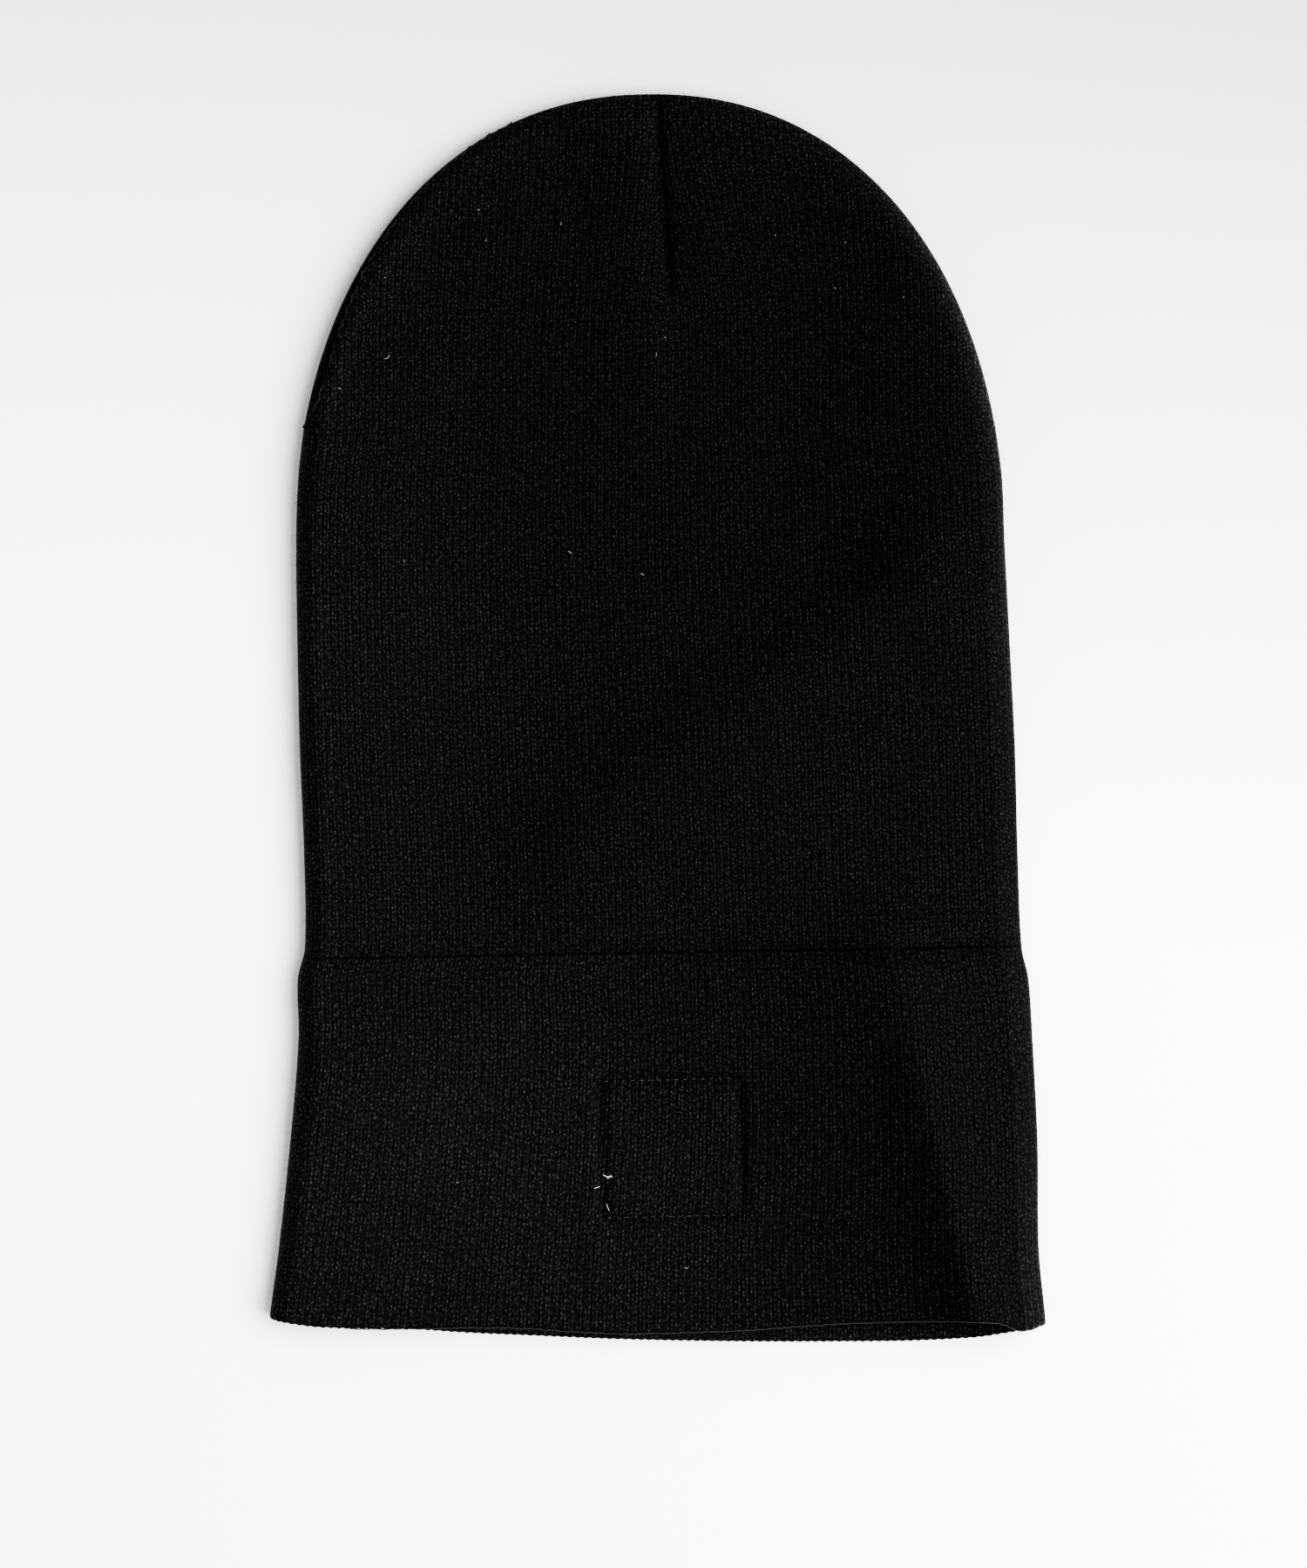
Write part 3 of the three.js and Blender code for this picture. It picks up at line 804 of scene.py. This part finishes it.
def makeCuff():
    wales = np.arange(lastColumn + 1).astype(float)
    tube, front, back, points, normals, depth, _ = cuffTube(wales, cuffRows)
    lining, inFront, inBack, inner, inNormals, inDepth, inRise = cuffTube(wales, cuffLining)
    points = points + normals * (knit["ribDepth"] * depth)[:, None]
    keepLevel(inNormals, np.concatenate([inFront[:, -1], inBack[:, -1]]))
    thick = mouthEdge["thin"] + (cap["wall"] - mouthEdge["thin"]) * smooth(inRise / mouthEdge["reach"])
    inner = inner - inNormals * (thick + knit["liningRibs"] * knit["ribDepth"] * inDepth)[:, None]
    faces, corners = jointFaces(tube, lining, len(points))
    outerTop = ringOf(front, back, -1)
    innerTop = len(points) + ringOf(inFront, inBack, -1)
    outerLow = ringOf(front, back, 0)
    innerLow = len(points) + ringOf(inFront, inBack, 0)
    allPoints = np.vstack([points, inner])
    # the mouth's edge is rounded and dips a little at each rib
    ribs = wales / knit["perRib"]
    ringRibs = np.concatenate([ribs, -ribs[-2:0:-1]])
    bulge = mouthEdge["drop"] + mouthEdge["scallop"] * np.cos(2 * math.pi * (ringRibs + 0.5))
    share = mouthEdge["inward"]
    near = allPoints[outerLow] * (1 - share) + allPoints[innerLow] * share
    far = allPoints[outerLow] * share + allPoints[innerLow] * (1 - share)
    near[:, 1] -= bulge
    far[:, 1] -= bulge
    nearRing = np.arange(len(allPoints), len(allPoints) + len(near))
    farRing = nearRing + len(near)
    allPoints = np.vstack([allPoints, near, far])
    ringSpots = np.zeros((len(ringRibs) + 1, 2))
    ringSpots[:-1, 0] = ringRibs
    down = np.array([0.0, -mouthEdge["rowPart"]])

    def band(upper, lower):  # faces between two rings
        for k in range(len(upper)):
            n = (k + 1) % len(upper)
            faces.append([int(upper[k]), int(lower[k]), int(lower[n]), int(upper[n])])
            first = ringSpots[k] * (-1 if k == lastColumn else 1)  # the back counts its ribs the other way
            second = ringSpots[k + 1]
            corners.append(np.array([first, first + down, second + down, second]))

    band(outerLow, nearRing)
    band(nearRing, farRing)
    band(farRing, innerLow)
    for k in range(len(outerTop)):
        n = (k + 1) % len(outerTop)
        faces.append([int(outerTop[k]), int(outerTop[n]), int(innerTop[n]), int(innerTop[k])])
        corners.append(np.zeros((4, 2)))
    return tidyPiece("cuffKnit", allPoints, faces, corners), (near + far) / 2


cuff, edgePath = makeCuff()
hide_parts("cuff")
print("stage: cuff knitted,", len(cuff.data.polygons), "faces")

# Threads, lint and fuzz

class Strands(Cloth):  # many thin round strands in one piece
    def lay(self, path, radius, sides=5, taper=0.5):
        path = np.asarray(path, float)
        way = np.gradient(path, axis=0)
        way /= np.maximum(np.linalg.norm(way, axis=1, keepdims=True), 1e-9)
        # any direction that the strand itself doesn't take
        level = np.where(np.abs(way[:, 2:]) > 0.9, [[1.0, 0.0, 0.0]], [[0.0, 0.0, 1.0]])
        first = np.cross(way, level)
        first /= np.linalg.norm(first, axis=1, keepdims=True)
        second = np.cross(first, way)
        size = radius * (1 - taper * np.linspace(-1, 1, len(path)) ** 4)
        turns = np.arange(sides) * 2 * math.pi / sides
        around = np.cos(turns)[None, :, None] * first[:, None]
        around = around + np.sin(turns)[None, :, None] * second[:, None]
        numbers = self.add(path[:, None] + size[:, None, None] * around)
        beside = np.roll(numbers, -1, axis=1)
        quads = np.stack([numbers[:-1], numbers[1:], beside[1:], beside[:-1]], axis=2).reshape(-1, 4)
        self.faces += quads.tolist()
        self.faces.append(numbers[0].tolist())
        self.faces.append(numbers[-1, ::-1].tolist())

    def make(self, name, material, slot):
        piece = makePiece(name, self.allPoints(), self.faces, material, None)
        print("stage:", name, "made,", len(self.faces), "faces")
        return piece


def onFront(path, lift):  # a path in plan, laid on the front of the cap
    path = np.asarray(path, float)
    return np.column_stack([path, frontHeight(path[:, 0], path[:, 1]) + lift])


def arc(x, y, length, turn, bend, steps=7):  # a bent line in plan about a middle point
    share = np.linspace(-0.5, 0.5, steps)
    way = turn + bend * share
    run = np.column_stack([np.cos(way), np.sin(way)]) * length / (steps - 1)
    line = np.cumsum(run, axis=0)
    return line - line.mean(axis=0) + np.array([x, y])


waySpan = 0.2  # how far to each side of a spot its direction is taken


def evenly(path, pitch):  # spots one pitch apart along a path, with the direction at each
    reached = np.concatenate([[0], np.cumsum(np.linalg.norm(np.diff(path, axis=0), axis=1))])
    at = np.arange(pitch / 2, reached[-1], pitch)

    def spotsAt(lengths):
        return np.column_stack([np.interp(lengths, reached, values) for values in path.T])

    return spotsAt(at), spotsAt(at + waySpan) - spotsAt(at - waySpan)


# Overlock stitches: on the rolled seam as far as endX, and low behind the edge over the rest of the crown
seamThread = {
    "pitch": 1.6, "length": 1.75, "radius": 0.23, "slant": 0.3, "bend": 0.3, "lift": 0.02, "seed": 5,
    "vary": 0.8, "skip": 0.12, "aside": 0.3, "endX": -37.0, "backDrop": 1.1, "inside": 0.1, "rise": 0.3,
    "clear": 2, "samples": 900,
}
seamFinish = threadMaterial("seamThread", (0.027, 0.027, 0.027), 0.6, 0.1)
blackThread = threadMaterial("blackThread", (0.021, 0.021, 0.022), 0.5, 0.15)


def makeSeamThread():
    strands = Strands()
    rng = np.random.default_rng(seamThread["seed"])
    columns = np.linspace(seamThread["clear"], lastColumn - seamThread["clear"], seamThread["samples"])
    rolledY = columnTops(columns, 1)
    rolledPath = np.column_stack([columnX(columns, rolledY), rolledY])
    outY = columnTops(columns, 0)
    edgeZ = np.full(len(columns), cap["edgeHeight"] - seamThread["backDrop"])
    edgeLine = np.column_stack([columnX(columns, outY), outY - seamThread["inside"], edgeZ])
    spots, ways = evenly(rolledPath[rolledPath[:, 0] < seamThread["endX"]], seamThread["pitch"])
    for k, (spot, way) in enumerate(zip(spots, ways)):
        turn = math.atan2(way[1], way[0]) + seamThread["slant"] * (1 if k % 2 else -1)
        if rng.random() < seamThread["skip"]:
            continue
        grow = 1 + seamThread["vary"] * (rng.random() - 0.5)
        spot = spot + seamThread["aside"] * (rng.random(2) - 0.5)
        path = arc(spot[0], spot[1], seamThread["length"] * grow, turn, seamThread["bend"])
        strands.lay(onFront(path, seamThread["lift"]), seamThread["radius"] * grow)
    spots, ways = evenly(edgeLine[edgeLine[:, 0] > seamThread["endX"]], seamThread["pitch"])
    for k, (spot, way) in enumerate(zip(spots, ways)):
        way = way / np.linalg.norm(way) * seamThread["length"] / 2
        rise = np.array([0.0, 0.0, seamThread["rise"] * (1 if k % 2 else -1)])
        strands.lay([spot - way - rise, spot, spot + way + rise], seamThread["radius"])
    return strands.make("seamThread", seamFinish, "thread")


makeSeamThread()

mouthThread = {"radius": 0.19, "sides": 6, "taper": 0.2, "fromX": -78.0, "toX": 96.0, "lift": 0.5,
               "forward": 0.05, "even": 5, "seed": 9, "wander": 0.24}


def makeMouthThread():  # the last row of loops along the front of the mouth
    strands = Strands()
    path = edgePath[:lastColumn + 1]
    path = path[(path[:, 0] > mouthThread["fromX"]) & (path[:, 0] < mouthThread["toX"])]
    width = mouthThread["even"]
    padded = np.pad(path, ((width // 2, width // 2), (0, 0)), "edge")
    path = np.column_stack([np.convolve(padded[:, k], np.ones(width) / width, "valid") for k in range(3)])
    rng = np.random.default_rng(mouthThread["seed"])
    path[:, 1:] += mouthThread["wander"] * (rng.random((len(path), 2)) - 0.5)
    path = path + np.array([0.0, -mouthThread["forward"], mouthThread["lift"]])
    strands.lay(path, mouthThread["radius"], mouthThread["sides"], mouthThread["taper"])
    return strands.make("mouthThread", blackThread, "thread")


makeMouthThread()

squareThread = {"pitch": 2.2, "length": 1.0, "radius": 0.12, "taper": 0.4, "lift": 0.1, "seed": 8,
                "short": 1.2, "vary": 0.9, "sway": 0.2}
greyThread = threadMaterial("greyThread", (0.052, 0.052, 0.052), 0.5, 0.2)


def onSquare(alongX, alongY):  # from the sewn square's own directions to places in plan
    turnX = math.cos(square["turn"])
    turnY = math.sin(square["turn"])
    return square["x"] + alongX * turnX - alongY * turnY, square["y"] + alongX * turnY + alongY * turnX


def makeSquareThread():  # the stitches that show along the top and bottom of the square
    strands = Strands()
    rng = np.random.default_rng(squareThread["seed"])
    reach = square["halfX"] - squareThread["short"]
    for end in (-1, 1):
        for place in np.arange(-reach, reach, squareThread["pitch"]):
            x, y = onSquare(place, end * square["halfY"])
            length = squareThread["length"] * (1 + squareThread["vary"] * (rng.random() - 0.5))
            turn = square["turn"] + squareThread["sway"] * (rng.random() - 0.5)
            path = onFront(arc(x, y, length, turn, 0.0, steps=4), squareThread["lift"])
            strands.lay(path, squareThread["radius"], taper=squareThread["taper"])
    return strands.make("squareThread", greyThread, "thread")


makeSquareThread()

# Loose white ends of the sewing thread, and lint: middle, length, direction, bend and height of the ends
ends = rowsOf("x y length turn bend thick", [
    (-12.7, -115.4, 2.3, -0.2, 1.3, 0.13), (-12.1, -115.6, 1.7, 0.15, -0.9, 0.12),
    (-12.3, -115.9, 0.9, 0.4, 0.6, 0.11), (-15.2, -118.3, 1.6, 0.25, 0.5, 0.08),
    (-12.5, -123.3, 2.0, -1.2, 0.3, 0.08),
])
lint = rowsOf("x y length turn bend thick", [
    (-67.9, 90.4, 1.9, 0.6, 1.6, 0.11), (-24.3, 124.1, 1.0, 1.2, 2.2, 0.09),
    (-45.0, 127.6, 0.9, 0.1, 2.4, 0.08), (-43.2, 119.9, 0.5, 0.5, 0.5, 0.1),
    (-0.3, 91.1, 1.1, 1.4, 0.7, 0.07), (1.9, 95.5, 0.6, 0.4, 1.0, 0.07),
    (-79.8, 82.5, 1.0, 2.5, 0.9, 0.08), (-68.5, 110.4, 0.5, 0.0, 0.4, 0.1),
    (-63.7, 39.2, 0.8, 2.0, 1.0, 0.08), (-22.0, 41.4, 1.2, 2.4, 0.8, 0.1),
    (-3.8, 35.9, 1.0, 2.6, 0.6, 0.12), (47.2, 119.2, 0.6, 1.0, 0.6, 0.08),
    (44.6, 107.8, 0.7, 2.2, 1.2, 0.07), (61.7, 105.2, 0.6, 0.7, 0.5, 0.07),
    (29.6, 121.2, 0.5, 1.9, 0.4, 0.07), (-50.3, -117.0, 0.8, 0.3, 1.1, 0.08),
    (7.2, -138.6, 0.8, 2.7, 0.6, 0.13),
])
whiteThread = threadMaterial("whiteThread", (0.62, 0.61, 0.59), 0.7, 0.2)
paleLint = threadMaterial("paleLint", (0.26, 0.25, 0.235), 0.9, 0.1)
strandRadius = 0.85  # as a part of a row's "thick"


def layStrands(name, rows, material, slot, lift):
    strands = Strands()
    for row in rows:
        path = arc(row["x"], row["y"], row["length"], row["turn"], row["bend"])
        raised = np.linspace(-1, 1, len(path)) ** 2 * row["thick"]
        strands.lay(onFront(path, lift + raised), row["thick"] * strandRadius)
    return strands.make(name, material, slot)


layStrands("threadEnds", ends, whiteThread, "lint", 0.15)
layStrands("lint", lint, paleLint, "lint", 0.1)

# Fibres: along the edge from lowY up the sides and round the crown, and all over the face
fuzz = {
    "seed": 21, "radius": 0.022, "shortest": 0.5, "longest": 1.7, "curl": 1.6, "taper": 0.6,
    "edge": 1700, "sideShare": 0.32, "lowY": -150.0, "fan": 1.6, "edgeHigh": 3.0, "edgeBelow": 0.3,
    "edgeRoot": 0.5, "face": 1500, "inset": 2.0, "rise": 0.5, "root": 0.08,
}
fuzzFibre = threadMaterial("fuzzFibre", (0.02, 0.02, 0.02), 0.9, 0.1)


def outlinePoints(share):  # points of the outline and the way out at each, once round from the mouth
    shoulder = fuzz["sideShare"]
    climb = np.clip(np.minimum(share, 1 - share) / shoulder, 0, 1)
    y = fuzz["lowY"] + climb * (cap["seamStart"] - fuzz["lowY"])
    onLeft = share < 0.5
    x = np.where(onLeft, leftSide(y), rightSide(y))
    turn = np.where(onLeft, math.pi, 0.0)
    above = (share > shoulder) & (share < 1 - shoulder)
    columns = (share - shoulder) / (1 - 2 * shoulder) * lastColumn
    topY = columnTops(columns, 0)
    topX = columnX(columns, topY)
    topTurn = np.arctan2(topY - outline["y"], topX - outline["x"])
    return np.where(above, topX, x), np.where(above, topY, y), np.where(above, topTurn, turn)


def makeFuzz():  # short fibres that leave the knit in all directions and curl
    strands = Strands()
    rng = np.random.default_rng(fuzz["seed"])
    count = fuzz["edge"]
    x, y, turn = outlinePoints(rng.random(count))
    turn = turn + (rng.random(count) - 0.5) * fuzz["fan"]
    edgeWay = np.column_stack([np.cos(turn), np.sin(turn), rng.random(count) - 0.5])
    z = cap["edgeHeight"] + (rng.random(count) - fuzz["edgeBelow"]) * fuzz["edgeHigh"]
    edgeStart = np.column_stack([x, y, z]) - fuzz["edgeRoot"] * edgeWay
    count = fuzz["face"]
    y = fuzz["lowY"] + rng.random(count) * (capTop - fuzz["lowY"] - fuzz["inset"])
    x = leftSide(y) + (rightSide(y) - leftSide(y)) * rng.random(count)
    inCrown = (y < cap["seamStart"]) | (insideOutline(x, y) > fuzz["inset"])
    inside = (insetAt(x, y) > fuzz["inset"]) & inCrown
    turn = rng.random(count) * 2 * math.pi
    faceWay = np.column_stack([np.cos(turn), np.sin(turn), fuzz["rise"] * rng.random(count)])
    faceStart = np.column_stack([x, y, frontHeight(x, y) - fuzz["root"]])
    starts = np.vstack([edgeStart, faceStart[inside]])
    ways = np.vstack([edgeWay, faceWay[inside]])
    lengths = fuzz["shortest"] + (fuzz["longest"] - fuzz["shortest"]) * rng.random(len(starts)) ** 2
    curls = (rng.random((len(starts), 3)) - 0.5) * fuzz["curl"]
    share = np.linspace(0, 1, 4)[:, None]
    for start, way, length, curl in zip(starts, ways, lengths, curls):
        path = start + (way * share + curl * share ** 2) * length
        strands.lay(path, fuzz["radius"], 3, fuzz["taper"])
    return strands.make("fuzz", fuzzFibre, "knit")


makeFuzz()

# Floor, light and camera

floorBoard = {
    "size": 3.0, "tone": (0.73, 0.73, 0.727), "roughness": 0.6, "shine": 0.2,
    "streakTone": 0.97, "streaks": (18.0, 240.0, 1.0), "streakScale": 3.0,
    # painted shade: it fades to grey at the far side, where the light falls off
    "fadeFrom": -0.02, "fadeOver": 0.24, "fadeTurn": 0.3, "paintedFalloffTone": 0.51,
}
# The light from all round is a little stronger at the right. The black level makes the darks as deep as the
# photograph's.
studio = {"tone": (1.0, 1.0, 1.0, 1), "level": 1.0, "tilt": 0.2, "blackLevel": 0.01}
lamps = [
    {"name": "keyRight", "at": (0.65, -0.08, 0.95), "aim": (0.02, -0.12, 0.0), "size": 1.0, "power": 19.8,
     "spread": 115.0},
]
view = {"x": -0.00099, "y": -0.01683, "height": 1.4, "frameHigh": 0.39578, "sensor": 36.0, "reach": 10.0}


def makeFloor():
    finish = Finish(bpy.data.materials.new("paintedBoard"))
    place = finish.node("ShaderNodeTexCoord", None, None, "Object")
    streaks = finish.node("ShaderNodeMapping", None, {"Vector": place, "Scale": floorBoard["streaks"]})
    streak = finish.noise(streaks, floorBoard["streakScale"], 3.0)
    spots = finish.parts(place)
    # painted shade: the floor's colour darkens towards the far side
    away = spots.out("Y") + spots.out("X") * floorBoard["fadeTurn"]
    away = between((away - floorBoard["fadeFrom"]) / floorBoard["fadeOver"], 0.0, 1.0)

    def toneAt(level):
        return tuple(c * level for c in floorBoard["tone"]) + (1,)

    near = finish.mixColour(streak, toneAt(floorBoard["streakTone"]), toneAt(1))
    tone = finish.mixColour(away, near, toneAt(floorBoard["paintedFalloffTone"]))
    material = finish.surface({"Base Color": tone, "Roughness": floorBoard["roughness"],
                               "Specular IOR Level": floorBoard["shine"]})
    half = floorBoard["size"] / 2
    corners = [(-half, -half, 0), (half, -half, 0), (half, half, 0), (-half, half, 0)]
    floor = linkMesh("floor", corners, [(0, 1, 2, 3)], material)


def pointAt(thing, target):
    way = Vector(np.array(target) - np.array(thing.location))
    thing.rotation_euler = way.to_track_quat("-Z", "Y").to_euler()


def makeLamps():
    for lamp in lamps:
        data = bpy.data.lights.new(lamp["name"], "AREA")
        data.size = lamp["size"]
        data.energy = lamp["power"]
        data.spread = math.radians(lamp["spread"])
        thing = linkThing(lamp["name"], data)
        thing.location = lamp["at"]
        pointAt(thing, lamp["aim"])


def makeWorld():
    finish = Finish(bpy.data.worlds.new("studio"))
    way = finish.parts(finish.node("ShaderNodeTexCoord", None, None, "Generated"))
    strength = (way.out("X") * studio["tilt"] + 1) * studio["level"]
    background = finish.node("ShaderNodeBackground", None, {"Color": studio["tone"], "Strength": strength})
    bpy.context.scene.world = finish.close("ShaderNodeOutputWorld", background)


def setTones():
    settings = bpy.context.scene.view_settings
    settings.view_transform = "AgX"
    settings.look = "AgX - Very High Contrast"
    settings.use_curve_mapping = True
    settings.curve_mapping.black_level = (studio["blackLevel"],) * 3
    settings.curve_mapping.update()


def makeCamera():  # straight above, framing the height of the photograph at the level of the cap's edge
    data = bpy.data.cameras.new("camera")
    above = view["height"] - cap["edgeHeight"] * mm
    data.sensor_width = view["sensor"]
    data.lens = view["sensor"] * above / view["frameHigh"]
    data.clip_end = view["reach"]
    camera = linkThing("camera", data)
    camera.location = (view["x"], view["y"], view["height"])
    bpy.context.scene.camera = camera


makeFloor()
makeLamps()
makeWorld()
setTones()
makeCamera()
print("stage: floor, light and camera set")
